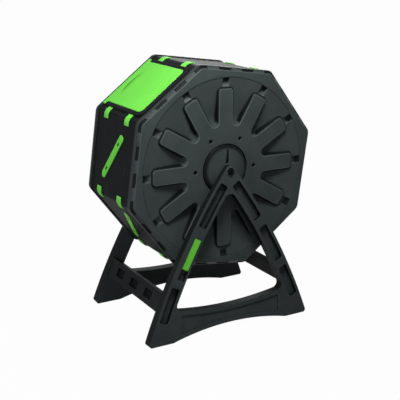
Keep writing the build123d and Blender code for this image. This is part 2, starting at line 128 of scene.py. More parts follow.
class Finish:
    """Node tree of a material or a world: its one shader and the method that adds nodes"""

    def __init__(self, owner, shader, **constants):
        """Find the owner's shader by name and set the inputs that stay constant"""
        owner.use_nodes = True
        self.owner = owner
        self.tree = owner.node_tree
        self.shader = self.tree.nodes[shader]
        self.set(**constants)

    def feed(self, node, inputs):
        """Set or link a node's sockets, by name or by number"""
        for key, value in inputs.items():
            socket = node.inputs[key]
            if isinstance(value, Wire):
                self.tree.links.new(value.socket, socket)
            else:
                socket.default_value = value

    def node(self, kind, settings=None, inputs=None, output=0):
        """Add one node: settings first, then sockets; the result is one of its outputs"""
        made = self.tree.nodes.new(kind)
        for key, value in (settings or {}).items():
            setattr(made, key, value)
        self.feed(made, inputs or {})
        return Wire(self, made.outputs[output])

    def set(self, **inputs):
        """Feed the shader's own sockets; an underscore stands for a space in a socket's name"""
        self.feed(self.shader, {key.replace("_", " "): value for key, value in inputs.items()})
        return self

    def place(self):
        """Position on the piece, in metres"""
        return self.node("ShaderNodeTexCoord", output="Object")

    def noise(self, size, detail, stretch=(1, 1, 1)):
        """Cloudy pattern from 0 to 1 with lumps of about this size in millimetres"""
        spread = self.node("ShaderNodeVectorMath", {"operation": "MULTIPLY"}, {0: self.place(), 1: stretch})
        inputs = {"Vector": spread, "Scale": 1 / (size * MM), "Detail": detail}
        return self.node("ShaderNodeTexNoise", None, inputs)

    def between(self, value, low, high):
        """Value rescaled so that low gives 0 and high gives 1, and held there"""
        return self.node("ShaderNodeMapRange", None, {"Value": value, "From Min": low, "From Max": high})

    def blend(self, factor, first, second):
        """Colour that goes from first to second"""
        return self.node("ShaderNodeMix", {"data_type": "RGBA"}, {0: factor, 6: first, 7: second}, 2)

    def bump(self, height, depth, below):
        """Normal below, tilted as a height pattern of a depth in millimetres would tilt it"""
        inputs = {"Height": height, "Distance": depth * MM, "Strength": 1.0, "Normal": below}
        return self.node("ShaderNodeBump", None, inputs)

    def seen(self):
        """1 for what is seen, straight or by a mirror, and 0 for light on a surface: three flags added"""
        flags = ("Is Camera Ray", "Is Glossy Ray", "Is Transmission Ray")
        straight, mirrored, through = (self.node("ShaderNodeLightPath", output=flag) for flag in flags)
        return straight + mirrored + through


print("shader tools: Wire and Finish")

# %% [markdown]
# ## Light and floor
#
# The photograph is a studio picture on white. The main light is a small soft lamp, high up and in
# front, which leaves the lower half in shade. A weak broad lamp stands above, one on the left reaches
# the side panels, one behind on the right keeps the far side readable, and there is white all round.
# One broad sky would be simpler, but it would flatten the star on the drum's end. The floor is a plane
# that takes the object's shadow. Seen by the camera it is mostly white of its own, which keeps the
# background white without more light on the object.

# %% Light and floor
WHITE = (1, 1, 1, 1)
FILL_STRENGTH = 0.07
# Place, side and watts of each lamp
LAMPS = {
    "key_softbox": ((-270, -560, 1400), 300, 10.7),
    "top_softbox": ((-900, 300, 1900), 900, 2.2),
    "left_softbox": ((-2000, -350, 850), 800, 16),
    "back_softbox": ((1300, 2000, 1400), 1200, 20),
}
AIM = Vector((0, 0, 400)) * MM
FLOOR_SIDE = 60000
FLOOR_GREY, FLOOR_ROUGH = (0.35, 0.35, 0.35, 1), 0.9
FLOOR_OWN_WHITE = 0.98


def softbox(name, place, side, watts):
    """Square area lamp that points at the object"""
    lamp = bpy.data.lights.new(name, "AREA")
    lamp.size = side * MM
    lamp.energy = watts
    body = bpy.data.objects.new(name, lamp)
    body.location = Vector(place) * MM
    body.rotation_euler = (AIM - body.location).to_track_quat("-Z", "Y").to_euler()
    bpy.context.scene.collection.objects.link(body)


def white_world():
    """World that is white where it is seen and gives a weaker light of its own elsewhere"""
    world = bpy.data.worlds.new("studio")
    bpy.context.scene.world = world
    sky = Finish(world, "Background", Color=WHITE)
    sky.set(Strength=sky.node("ShaderNodeMapRange", None, {"Value": sky.seen(), "To Min": FILL_STRENGTH}))


def pale_floor():
    """Square plane at height 0; where it is seen, it is part white glow and part lit surface"""
    corner = FLOOR_SIDE / 2 * MM
    corners = [(-corner, -corner, 0), (corner, -corner, 0), (corner, corner, 0), (-corner, corner, 0)]
    mesh = bpy.data.meshes.new("floor")
    mesh.from_pydata(corners, [], [(0, 1, 2, 3)])
    floor = bpy.data.objects.new("floor", mesh)
    bpy.context.scene.collection.objects.link(floor)
    paint = Finish(
        bpy.data.materials.new("pale_floor"), PRINCIPLED,
        Base_Color=FLOOR_GREY, Roughness=FLOOR_ROUGH, Specular_IOR_Level=0.0,
    )
    glow = paint.node("ShaderNodeEmission", None, {"Color": WHITE, "Strength": 1.0})
    lit = Wire(paint, paint.shader.outputs[0])
    mixed = paint.node("ShaderNodeMixShader", None, {0: paint.seen() * FLOOR_OWN_WHITE, 1: lit, 2: glow})
    paint.feed(paint.tree.nodes["Material Output"], {"Surface": mixed})
    mesh.materials.append(paint.owner)


for lamp_name, (lamp_place, lamp_side, lamp_watts) in LAMPS.items():
    softbox(lamp_name, lamp_place, lamp_side, lamp_watts)
white_world()
pale_floor()
print("lamps:", len(LAMPS), "floor side:", FLOOR_SIDE)

# %% [markdown]
# ## Finishes
#
# The drum's ends and the stands are charcoal plastic with a fine moulded grain, the side panels and the
# beams a darker one, the door, clips and bars a bright green, the slider a lighter green, and the axle
# is galvanised steel. A flat colour would look like a toy, so each plastic has a slow change of tone,
# grain at its real scale and paler edges where hands and soil rub it. Shade is painted into the colour
# too: dark in recesses, at walls' feet and in holes and slots, with painted highlights on some edges.
# Stands and beams are the CAD's own meshes, which carry no painted light values, so their painted shade
# is placed another way: by the direction of a face on the stands, and by the depth below the outer face
# on the beams. The side panels have faint scuffs round the drum.

# %% Finishes
GRAIN_SIZE, CLOUD_SIZE, RUB_SIZE = 0.9, 60, 9
EDGE_ROUND, EDGE_SAMPLES = 1.6, 6
EDGE_BEND, RUB_PATCHES, TONE_RANGE = (0.03, 0.3), (0.25, 0.75), (0.3, 0.7)
SCUFF_WIDTH, SCUFF_STRETCH = 6, (0.14, 1, 0.14)
SCUFF_RANGE, SCUFF_PATCHES = (0.56, 0.72), (0.4, 0.6)
# Painted shade: it darkens towards a tenth of the deep tone, on stand faces turned away from the front and
# back, and below a beam's outer face
PAINTED_SHADE_TONE = 0.1
WALL_TURN = (0.75, 0.1)
FACE_SHADE, FACE_DEPTHS = 0.8, (0.5 * MM, 4.0 * MM)
CLOUD_GLOSS, GRAIN_GLOSS = 0.14, 0.08
CRYSTAL_SIZE, ZINC_ROUGH, ZINC_SPREAD = 4, 0.24, 0.2
ZINC_DARK, ZINC_PALE = (0.52, 0.54, 0.56, 1), (0.66, 0.68, 0.7, 1)
# Outer face of a beam, below which shade is painted: how far it leans outwards and upwards, and its distance
# from the middle
BEAM_FACE = (0.9165, 0.4, 240.5)
# Colours are the deep and the pale tone and the worn edge
PLASTICS = {
    "charcoal_plastic": {
        "colours": [(0.054, 0.069, 0.068), (0.068, 0.085, 0.082), (0.118, 0.137, 0.135)],
        "rough": 0.45, "specular": 0.06, "grain_depth": 0.04,
    },
    "black_plastic": {
        "colours": [(0.007, 0.008, 0.009), (0.009, 0.010, 0.011), (0.03, 0.032, 0.034)],
        "rough": 0.5, "specular": 0.012, "grain_depth": 0.01, "scuffs": 0.6,
    },
    "bright_green_plastic": {
        "colours": [(0.138, 0.59, 0.06), (0.154, 0.64, 0.07), (0.27, 0.76, 0.15)],
        "rough": 0.42, "specular": 0.03, "grain_depth": 0.015,
    },
    "leaf_green_plastic": {
        "colours": [(0.195, 0.84, 0.076), (0.215, 0.88, 0.088), (0.3, 0.92, 0.15)],
        "rough": 0.45, "specular": 0.06, "grain_depth": 0.015,
    },
    # Stands: faces turned away from the front and back get painted shade (wall_shade)
    "stand_plastic_painted_shade": {
        "colours": [(0.055, 0.066, 0.067), (0.068, 0.081, 0.081), (0.13, 0.15, 0.15)],
        "rough": 0.45, "specular": 0.02, "grain_depth": 0.04, "wall_shade": 0.94,
    },
    # Beams: painted shade below the outer face, on the recess floors and the inner face
    "beam_plastic_painted_shade": {
        "colours": [(0.015, 0.018, 0.019), (0.019, 0.022, 0.023), (0.045, 0.052, 0.052)],
        "rough": 0.45, "specular": 0.01, "grain_depth": 0.04, "face": BEAM_FACE,
    },
}
OWN_FINISH = {
    "front_a_frame": "stand_plastic_painted_shade", "rear_a_frame": "stand_plastic_painted_shade",
    "left_spreader_beam": "beam_plastic_painted_shade", "right_spreader_beam": "beam_plastic_painted_shade",
}


def below_plane(paint, out, up, level):
    """Depth in metres below a slanted plane, alike on the left and the right: level - out * |x| - up * z"""
    x, z = (paint.node("ShaderNodeSeparateXYZ", None, {0: paint.place()}, axis) for axis in "XZ")
    aside = paint.node("ShaderNodeMath", {"operation": "ABSOLUTE"}, {0: x})
    return level * MM - out * aside - up * z


def wear(paint, eased, plain, scuffs):
    """Rubbed places: where the eased normal leaves the plain one, in patches, plus long faint scuffs"""
    agree = paint.node("ShaderNodeVectorMath", {"operation": "DOT_PRODUCT"}, {0: eased, 1: plain}, "Value")
    patches = paint.between(paint.noise(RUB_SIZE, 4.0), *RUB_PATCHES)
    wear_and_highlight = paint.between(1 - agree, *EDGE_BEND) * patches
    if scuffs:
        streaks = paint.between(paint.noise(SCUFF_WIDTH, 3.0, SCUFF_STRETCH), *SCUFF_RANGE)
        wear_and_highlight = wear_and_highlight + scuffs * streaks * paint.between(paint.noise(CLOUD_SIZE, 2.0), *SCUFF_PATCHES)
    return wear_and_highlight


def shade(paint, painted_light, plain, wall_shade, face):
    """Painted shade: painted light below 0, plus faces turned away from the front and back, plus depth below
    an outer face
    """
    dark = paint.between(painted_light, 0.0, -1.0)
    if wall_shade:
        forwards = paint.node("ShaderNodeSeparateXYZ", None, {0: plain}, "Y")
        dark = dark + wall_shade * paint.between(forwards * forwards, *WALL_TURN)
    if face:
        dark = dark + FACE_SHADE * paint.between(below_plane(paint, *face), *FACE_DEPTHS)
    return dark


def moulded_plastic(name, colours, rough, specular, grain_depth, wall_shade=0.0, face=None, scuffs=0.0):
    """Tone drifts from deep to pale, goes to worn by wear and painted highlight, and to a tenth of deep by
    painted shade; grain is a bump
    """
    deep, pale, worn = ((*colour, 1) for colour in colours)
    shade_colour = (*(PAINTED_SHADE_TONE * part for part in colours[0]), 1)
    paint = Finish(bpy.data.materials.new(name), PRINCIPLED, Specular_IOR_Level=specular)
    cloud = paint.noise(CLOUD_SIZE, 3.0)
    grain = paint.noise(GRAIN_SIZE, 2.0)
    eased = paint.node("ShaderNodeBevel", {"samples": EDGE_SAMPLES}, {"Radius": EDGE_ROUND * MM})
    plain = paint.node("ShaderNodeNewGeometry", output="Normal")
    painted_light = paint.node("ShaderNodeAttribute", {"attribute_name": "painted_light"}, output="Fac")
    tone = paint.blend(paint.between(cloud, *TONE_RANGE), deep, pale)
    # Wear, plus the painted highlight where the painted light is above 0
    wear_and_highlight = paint.between(wear(paint, eased, plain, scuffs) + painted_light, 0.0, 1.0)
    colour = paint.blend(wear_and_highlight, tone, worn)
    # Painted shade: painted light below 0, stand faces turned sideways, depth below a beam's outer face
    colour = paint.blend(shade(paint, painted_light, plain, wall_shade, face), colour, shade_colour)
    gloss = rough + CLOUD_GLOSS * (cloud - 0.5) + GRAIN_GLOSS * (grain - 0.5)
    return paint.set(Base_Color=colour, Roughness=gloss, Normal=paint.bump(grain, grain_depth, eased))


def galvanised_steel(name):
    """Zinc-coated steel: grey metal with crystal patches of different tone and roughness"""
    paint = Finish(bpy.data.materials.new(name), PRINCIPLED, Metallic=1.0)
    inputs = {"Vector": paint.place(), "Scale": 1 / (CRYSTAL_SIZE * MM)}
    crystal = paint.node("ShaderNodeTexVoronoi", None, inputs, "Color")
    patch = paint.node("ShaderNodeRGBToBW", None, {0: crystal})
    colour = paint.blend(patch, ZINC_DARK, ZINC_PALE)
    return paint.set(Base_Color=colour, Roughness=ZINC_ROUGH + ZINC_SPREAD * patch)


FINISHES = {name: moulded_plastic(name, **look) for name, look in PLASTICS.items()}
FINISHES["galvanised_steel"] = galvanised_steel("galvanised_steel")
NODE_SLOT = {sub["node"]: sub["material_slot"] for sub in frame["record"]["subparts"]}
for node_name, node_object in frame["nodes"].items():
    node_finish = FINISHES[OWN_FINISH.get(node_name, NODE_SLOT[node_name])]
    node_object.data.materials.clear()
    node_object.data.materials.append(node_finish.owner)
print("finishes:", ", ".join(FINISHES))

# %% [markdown]
# ## Surface grids
#
# Every new piece is a closed skin over a grid of points: rows run along or round the piece and columns
# run round its section, so the columns always wrap. A ring's rows wrap as well; a bar's two ends get
# one flat face each. A box with modifiers would be quicker to write, but a grid puts its points where
# the shape bends and gives edges their true rounding. The volume tells whether the faces point
# outwards. A number on every point, the painted light, tells the finish where a highlight is painted
# in the worn colour (above 0) and where shade is painted: in recesses, at walls' feet, in holes and
# slots and on the rim's outer band (below 0).

# %% Surface grids
SHARP = radians(34)


def smooth(x):
    """Soft step: 3 x squared minus 2 x cubed between 0 and 1, held outside"""
    x = np.clip(x, 0, 1)
    return x * x * (3 - 2 * x)


def soft_edge(inside, run):
    """Soft step over a run that is centred on an outline: inside is the distance within it"""
    return smooth(inside / run + 0.5)


def join(*runs):
    """Stations of several runs in one list; a run is a number or an array"""
    return np.concatenate([np.atleast_1d(np.asarray(run, dtype=float)) for run in runs])


def skin(points, ring=False, painted_light=0.0):
    """Quads between neighbouring rows and columns, with end caps unless it is a ring, turned outwards"""
    rows, columns = points.shape[:2]
    row = np.arange(rows if ring else rows - 1)[:, None] * columns
    below = (row + columns) % (rows * columns)
    column = np.arange(columns)[None, :]
    beside = (column + 1) % columns
    quads = np.stack([row + column, row + beside, below + beside, below + column], -1).reshape(-1, 4)
    caps = [] if ring else [np.arange(columns)[::-1], np.arange(columns) + (rows - 1) * columns]
    flat = points.reshape(-1, 3)
    corner = flat[quads] - flat.mean(0)
    volume = np.einsum("ij,ij->", corner[:, 0], np.cross(corner[:, 1], corner[:, 2]))
    volume += np.einsum("ij,ij->", corner[:, 0], np.cross(corner[:, 2], corner[:, 3]))
    for cap in caps:
        edge = flat[cap] - flat.mean(0)
        volume += np.einsum("j,ij->", edge[0], np.cross(edge[1:-1], edge[2:]))
    if volume < 0:
        quads, caps = quads[:, ::-1], [cap[::-1] for cap in caps]
    return flat, quads, caps, np.broadcast_to(painted_light, (rows, columns)).reshape(-1)


def make_piece(name, skins, body, slot, *nodes):
    """One mesh from closed skins, shaded smooth but for sharp edges, in place of its CAD nodes"""
    starts = np.cumsum([0] + [len(part[0]) for part in skins])
    faces = []
    for (_, quads, caps, _), start in zip(skins, starts):
        faces += (quads + start).tolist() + [(cap + start).tolist() for cap in caps]
    mesh = bpy.data.meshes.new(name)
    mesh.from_pydata((np.vstack([part[0] for part in skins]) * MM).tolist(), [], faces)
    # Painted light of every point: painted highlight above 0, painted shade below 0, read by the finish
    painted_light = mesh.attributes.new("painted_light", "FLOAT", "POINT")
    painted_light.data.foreach_set("value", np.concatenate([part[3] for part in skins]))
    mesh.shade_smooth()
    mesh.set_sharp_from_angle(angle=SHARP)
    mesh.materials.append(FINISHES[slot].owner)
    piece = bpy.data.objects.new(name, mesh)
    bpy.context.scene.collection.objects.link(piece)
    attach(piece, body)
    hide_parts(*nodes)
    print(name, "faces:", len(faces))


print("grid tools: skin and make_piece")

# %% [markdown]
# ## The drum's own frame
#
# The drum is drawn with one flat side up and then turned about the axle, as it stands in the
# photograph. On its end, v runs right, w up and u forwards from the drum's middle. An octagon with
# rounded corners is easiest as a radius for each direction: a straight side first, then the arc that
# rounds the corner. What sits on the ends is laid out in zones, bands of columns with a radius, a
# height above the end's face, a direction and a painted light value, a painted highlight above 0 and
# painted shade below 0. It is made once and placed at both ends, where the rear one is a mirror image.

# %% The drum's own frame
AXLE = 457
DRUM_TURN = radians(-7.5)
SIDE = radians(45)
FACE = 143


def on_drum(v, w, u, turn=0.0):
    """Turn (v, w) about the axle by the drum's angle plus turn; u points to the front, which is -Y"""
    angle = DRUM_TURN + turn
    v, w, u = np.broadcast_arrays(v, w, u)
    across = v * cos(angle) - w * sin(angle)
    up = v * sin(angle) + w * cos(angle)
    return np.stack([across, -u, AXLE + up], -1)


def side_fold(angle):
    """Angle to the middle of the octagon's nearest side"""
    return np.abs((angle + SIDE / 2) % SIDE - SIDE / 2)


def octagon_radius(angle, inradius, rounding):
    """Distance to a rounded octagon: inradius over the cosine on a side, the corner circle near a corner"""
    fold = side_fold(angle)
    side = inradius / np.cos(fold)
    corner = (inradius - rounding) / cos(SIDE / 2)
    away = SIDE / 2 - fold
    arc = corner * np.cos(away) + np.sqrt(np.maximum(rounding**2 - (corner * np.sin(away)) ** 2, 0))
    straight = inradius * np.tan(fold) < (inradius - rounding) * tan(SIDE / 2)
    return np.where(straight, side, arc)


def round_axle(radius, turn, level, front):
    """Point at a radius and a direction round the axle; level counts from the drum's middle to either end"""
    return on_drum(radius * np.cos(turn), radius * np.sin(turn), level if front else -level)


def zone(radius, height, turn, painted_light=0.0):
    """One band of columns: radius, height, direction and painted light, all brought to one shape"""
    return np.stack(np.broadcast_arrays(radius, height, turn, painted_light))


def ring_skin(zones, front):
    """Closed skin of zones side by side, with heights counted from the end's face"""
    radius, height, turn, painted_light = np.concatenate(zones, axis=2)
    return skin(round_axle(radius, turn, FACE + height, front), True, painted_light)


def both_ends(kind, shape, slot, node):
    """The same piece at the front and at the rear end of the drum"""
    for end in ("front", "rear"):
        make_piece(f"{end}_{kind}_skin", [shape(end == "front")], "drum", slot, f"{end}_{node}")


print("drum: axle at", AXLE, "face at", FACE)

# %% [markdown]
# ## End panels
#
# Each end of the drum is one moulding: twelve raised fingers round a plain middle, floors that get
# deeper towards the hub, a scooped notch past every finger tip, air holes, a flat border and a bevelled
# rim with slots. It could be cut from a plate with many booleans. Here it is one skin in polar form:
# every row is a line from the hub to the rim and back along the inside, and a height function gives the
# relief. The rows follow the finger sides, so that the soft edge of a finger is always crossed by
# several rows.

# %% End panels
FINGERS = 12
SECTOR = 2 * pi / FINGERS
STAR_TURN = SECTOR / 4
FINGER_HALF, FINGER_TIP, FINGER_CORNER = 22.5, 221, 9.5
ROOT_ROUND, ROOT_BLEND = 12.5, 8
STAR_EDGE = 250
FLOOR_DEPTH, FLOOR_START, FLOOR_RAMP, FLOOR_DEEPEST, FLOOR_RISE = 15, 110, 36, 150, 0.14
WALL_SOFT, WALL_RUN = 1.6, 3.8
NOTCH_AT, NOTCH_RADIUS, NOTCH_HALF, NOTCH_LIFT, NOTCH_SOFT = 239, 15.39, 10, 4.39, 1.4
HOLE_AT, HOLE_RADIUS, HOLE_DEPTH, HOLE_SOFT = 93, 5, 9, 1.0
SKIRT, CORNER, BEVEL_OUT, BEVEL_DOWN, SKIRT_END = 275, 24, 10, 11, 23
WALL, SKIRT_WALL, SKIRT_EASE = 4, 3.5, 0.6
SLOT_DEPTH = 2.4
SLOT_FROM, SLOT_TO, CORNER_SLOT = radians(3.5), radians(11.5), radians(18.6)
SLOT_SHARES = [0.2, 0.24, 0.76, 0.8]
SEAT_RADIUS, SEAT_DEPTH = 70.3, 7
BORE, SLEEVE, SLEEVE_END, SLEEVE_ROOT = 11.2, 16.2, 28, 11
# Painted shade and painted highlight: how far past a wall's foot the painted shade runs, and how strong each
# part is
FOOT_START, FOOT_RUN, FOOT_SPREAD, FOOT_FULL = 1.6, 1.5, 0.4, 5
ROOT_LIGHT, NOTCH_SHADE, NOTCH_HIGHLIGHT, NOTCH_SPAN = 0.8, 0.9, 0.5, 5
BROW_AT, BROW_WIDTH, BROW_HIGHLIGHT, BROW_FULL = 0.6, 0.9, 0.9, 3
# Painted shade on the rim's bevel, growing outwards, and on the skirt
BEVEL_SHADE, SKIRT_SHADE = 0.65, 1.0
# Radius, height and painted shade of the hub cap's seat; radius and height of the bearing sleeve inside
SEAT_ZONE = np.array([
    (BORE, -SEAT_DEPTH, -0.5), (60, -SEAT_DEPTH, -0.5), (69.6, -SEAT_DEPTH, -0.8),
    (SEAT_RADIUS, -6, -1), (SEAT_RADIUS, -1, -0.5), (71, -0.2, 0),
]).T
SLEEVE_ZONE = np.array([
    (78, -SLEEVE_ROOT), (SLEEVE, -SLEEVE_ROOT), (SLEEVE, 1 - SLEEVE_END),
    (SLEEVE - 1, -SLEEVE_END), (BORE, -SLEEVE_END),
]).T
FINGER_ROWS = join(
    0, 1.5, 3, 4.2, 5, 5.8, 7.5, 9.2, 10, 10.8, 13, 16, 18.5, 19.7,
    20.4, 21, 21.7, 22.4, 23.1, 23.8, 24.6, 25.6, 28,
)
VALLEY_ROWS = join(0.18, 0.5, 0.585, 0.766, 0.848, 0.93, 1.0)
WIDEST = radians(13.5)
FACE_RADII = join(
    73, 80, np.arange(87, 100, 1.5), np.arange(101, 136, 1.7), np.arange(137, 156, 3),
    np.arange(158, 213, 7), np.arange(214, 248, 1.5), 248.6, 249.6,
)
RIM_SHARES = join(0, 0.08, 0.4, 0.7, 0.95)
# A fine groove where the border starts, painted dark
GROOVE_HEIGHT, GROOVE_PAINTED_SHADE = [-0.3, 0, 0, 0, 0], [-0.7, 0, 0, 0, 0]
BEVEL_SHARES = join(0, 0.06, 0.2, 0.24, 0.3, 0.5, 0.7, 0.76, 0.8, 0.94, 1)
INNER_RADII = join(249, 245, 239, 233, 228, 222, 215, 200, 180, 160, 150, 140, 128, 118, 104, 98, 93, 88, 80)


def star_distance(along, across):
    """Distance outside a finger, a box with round corners; at the root, within a circle between fingers"""
    across = np.abs(across)
    tip = np.maximum(along - (FINGER_TIP - FINGER_CORNER), 0)
    side = across - (FINGER_HALF - FINGER_CORNER)
    corner = np.where(tip > 0, np.hypot(tip, np.maximum(side, 0)), side) - FINGER_CORNER
    half = SECTOR / 2
    out = along * cos(half) + across * sin(half) - (FINGER_HALF + ROOT_ROUND) / sin(half)
    off = np.abs(across * cos(half) - along * sin(half))
    behind = -(out * cos(half) + off * sin(half))
    distance = np.where(behind > 0, ROOT_ROUND - np.hypot(out, off), corner)
    return distance, soft_edge(behind, ROOT_BLEND)


def floor_depth(radius):
    """Depth between fingers: a hollow ramp down from the middle, then a straight rise to the star's edge"""
    ramp = 1 - (1 - np.clip((radius - FLOOR_START) / FLOOR_RAMP, 0, 1)) ** 2
    rise = FLOOR_DEPTH - FLOOR_RISE * (radius - FLOOR_DEEPEST)
    return np.minimum(FLOOR_DEPTH * ramp, rise) * (radius < STAR_EDGE)


def face_form(radius, angle, holed):
    """Height: floor depth times a soft step of finger distance, then notch and hole; painted light: highlight
    less shade
    """
    along, across = radius * np.cos(angle), radius * np.sin(angle)
    floor = floor_depth(radius)
    distance, root = star_distance(along, across)
    past = distance + WALL_SOFT
    height = -floor * smooth(past / WALL_RUN)
    reach = np.clip(along - NOTCH_AT, -NOTCH_RADIUS, NOTCH_RADIUS)
    scoop = NOTCH_LIFT - np.sqrt(NOTCH_RADIUS**2 - reach**2)
    inside = soft_edge(NOTCH_HALF - np.abs(across), NOTCH_SOFT)
    height = height + inside * (np.minimum(height, scoop) - height)
    hole = soft_edge(HOLE_RADIUS - np.hypot(along - HOLE_AT, across), HOLE_SOFT) * holed
    notch = inside * smooth(-scoop / 2)

    # Painted shade at each wall's foot, stronger where the floor is deeper and weaker at the roots; then in
    # the outer half of each notch and in each air hole
    foot = smooth(past / FOOT_START) * (1 - smooth((past - WALL_RUN) / (FOOT_RUN + FOOT_SPREAD * floor)))
    dark = np.minimum(floor / FOOT_FULL, 1) * foot * (1 - ROOT_LIGHT * root)
    dark = dark + NOTCH_SHADE * notch * smooth(reach / NOTCH_SPAN + 0.4) + hole
    # Painted highlight, in the worn colour, along each finger's top edge and on the inner half of each notch
    brow = np.exp(-(((past + BROW_AT) / BROW_WIDTH) ** 2)) * np.minimum(floor / BROW_FULL, 1) * (1 - notch)
    wear_and_highlight = BROW_HIGHLIGHT * brow + NOTCH_HIGHLIGHT * notch * smooth(-reach / NOTCH_SPAN)
    return height - HOLE_DEPTH * hole, wear_and_highlight - np.minimum(dark, 1)


def half_sector(radius):
    """Row angles from a finger's middle to the next valley's: fixed distances first, then even shares"""
    radius = np.minimum(radius, STAR_EDGE)
    last = np.arcsin(np.minimum(FINGER_ROWS[-1] / radius, 1))
    squeeze = np.minimum(1, WIDEST / last)
    finger = np.arcsin(np.minimum(FINGER_ROWS[:, None] / radius, 1)) * squeeze
    valley = last * squeeze + VALLEY_ROWS[:, None] * (SECTOR / 2 - last * squeeze)
    return np.vstack([finger, valley])


def rim_zones(rim):
    """Border, bevel with its slots pressed in square to it, skirt, and the way back under them; shade is
    painted on the groove, bevel, slots and skirt
    """
    flat = octagon_radius(rim, SKIRT - BEVEL_OUT, CORNER - BEVEL_OUT)
    outer = octagon_radius(rim, SKIRT, CORNER)
    within = octagon_radius(rim, SKIRT - SKIRT_WALL, CORNER - SKIRT_WALL)
    under = octagon_radius(rim, SKIRT - SKIRT_WALL - BEVEL_OUT, CORNER - SKIRT_WALL - BEVEL_OUT)
    first, last = STAR_EDGE + 0.6, flat - 0.4
    fold = side_fold(rim)
    slot = ((fold > SLOT_FROM) & (fold < SLOT_TO)) | (fold > CORNER_SLOT)
    sunk = SLOT_DEPTH * slot * np.interp(BEVEL_SHARES, SLOT_SHARES, [0, 1, 1, 0])
    slope = hypot(BEVEL_OUT, BEVEL_DOWN)
    bevel = flat + (outer - flat) * BEVEL_SHARES - sunk * BEVEL_DOWN / slope
    bevel_height = -BEVEL_DOWN * BEVEL_SHARES - sunk * BEVEL_OUT / slope
    bevel_painted_light = -np.maximum(np.minimum(sunk, 1), BEVEL_SHADE * BEVEL_SHARES)
    return [
        zone(first + (last - first) * RIM_SHARES, GROOVE_HEIGHT, rim, GROOVE_PAINTED_SHADE),
        zone(bevel, bevel_height, rim, bevel_painted_light),
        zone(outer + [0, -SKIRT_EASE], [SKIRT_EASE - SKIRT_END, -SKIRT_END], rim, -SKIRT_SHADE),
        zone(within, [-SKIRT_END, -WALL - BEVEL_DOWN], rim),
        zone(under, -WALL, rim),
    ]


def end_panel(front):
    """Rows round the axle; columns: seat, face, border, bevel, skirt, inside, sleeve and bore"""
    half = half_sector(join(FACE_RADII, INNER_RADII))
    sector = np.vstack([-half[-2:0:-1], half])
    finger = np.repeat(np.arange(FINGERS), len(sector))[:, None]
    local = np.tile(sector, (FINGERS, 1))
    face_local, inner_local = np.split(local, [len(FACE_RADII)], axis=1)
    face_turn = STAR_TURN + SECTOR * finger + face_local
    inner_turn = STAR_TURN + SECTOR * finger + inner_local
    holed = finger % 2 == 0
    face, face_painted_light = face_form(FACE_RADII, face_local, holed)
    inner = face_form(INNER_RADII, inner_local, holed)[0] - WALL
    seat_radius, seat_height, seat_painted_light = SEAT_ZONE
    zones = [
        zone(seat_radius, seat_height, face_turn[:, :1], seat_painted_light),
        zone(FACE_RADII, face, face_turn, face_painted_light),
        *rim_zones(face_turn[:, -1:]),
        zone(INNER_RADII, inner, inner_turn),
        zone(*SLEEVE_ZONE, inner_turn[:, -1:]),
    ]
    return ring_skin(zones, front)


both_ends("end", end_panel, "charcoal_plastic", "end_panel")

# %% [markdown]
# ## Hub caps
#
# A shallow dome covers the bearing sleeve at each end, with a narrow slit that tapers outwards. A dome
# is a profile turned about the axle, so it could be a spin of a curve. The grid form lets the slit be
# pressed in with the same height function, and its rows crowd together where the slit is.

# %% Hub caps
HUB, HUB_TOP, HUB_EDGE, HUB_BASE, FLANK_RISE = 69, 8, -3.8, -6.8, 9
SLIT_RADII, SLIT_HALVES = [17, 53], [5.6, 2.2]
SLIT_FLOOR, SLIT_TURN, SLIT_END_SOFT, SLIT_SIDE_SOFT = 0.5, radians(-6), 1.2, 1.0
# Part of the flank's painted shade, the radius where it starts and how far it runs
FLANK_SHADES = ((0.2, 25, 30), (0.8, 53, 10))
DOME_RADII = join(
    BORE + 0.6, np.arange(14, 18, 1.5), np.arange(18, 54, 1.2),
    56, 58.5, 60.5, 62.5, 64, 65.4, 66.6, 67.6, 68.4,
)
HUB_RIM = np.array([
    (HUB - 0.5, HUB_EDGE - 0.2), (HUB, HUB_EDGE - 0.8), (HUB, HUB_BASE + 0.4), (HUB - 0.4, HUB_BASE),
    (BORE, HUB_BASE), (BORE, HUB_TOP - 0.5),
]).T


def hub_cap(front):
    """A gentle cone, 1 - share^1.5, on a round flank, root of 1 - share^4; the slit lowers both to a floor"""
    crowd = join(np.arange(-180, -16, 4), np.arange(-15, 15.1, 0.75), np.arange(18, 180, 4))
    crowd = np.radians(crowd)[:, None]
    turn = STAR_TURN + pi / 2 + SLIT_TURN + crowd
    share = (DOME_RADII - BORE) / (HUB - BORE)
    cone = (HUB_TOP - HUB_EDGE - FLANK_RISE) * (1 - share**1.5)
    dome = HUB_EDGE + FLANK_RISE * np.sqrt(1 - share**4) + cone
    half = np.interp(DOME_RADII, SLIT_RADII, SLIT_HALVES)
    along = soft_edge(DOME_RADII - SLIT_RADII[0], SLIT_END_SOFT)
    along = along * soft_edge(SLIT_RADII[1] - DOME_RADII, SLIT_END_SOFT)
    cut = along * soft_edge(half - np.abs(DOME_RADII * crowd), SLIT_SIDE_SOFT)
    dome = dome - cut * np.maximum(dome - SLIT_FLOOR, 0)
    # Painted shade: the slit, the dome's outer flank and the cap's rim are darkened in colour
    flank = sum(part * smooth((DOME_RADII - start) / run) for part, start, run in FLANK_SHADES)
    zones = [zone(DOME_RADII, dome, turn, -np.maximum(cut, flank)), zone(*HUB_RIM, turn, -1)]
    return ring_skin(zones, front)


both_ends("hub", hub_cap, "charcoal_plastic", "hub_cap")

# %% [markdown]
# ## Axle plugs
#
# A dark plug closes each end of the steel axle, and its thin head covers the tube's cut edge. It is a
# profile turned about the axle: a domed head, its eased rim and the shank inside the tube. It could be
# a cylinder with a bevel; here the profile is written out, because the head's slow curve catches the
# light.

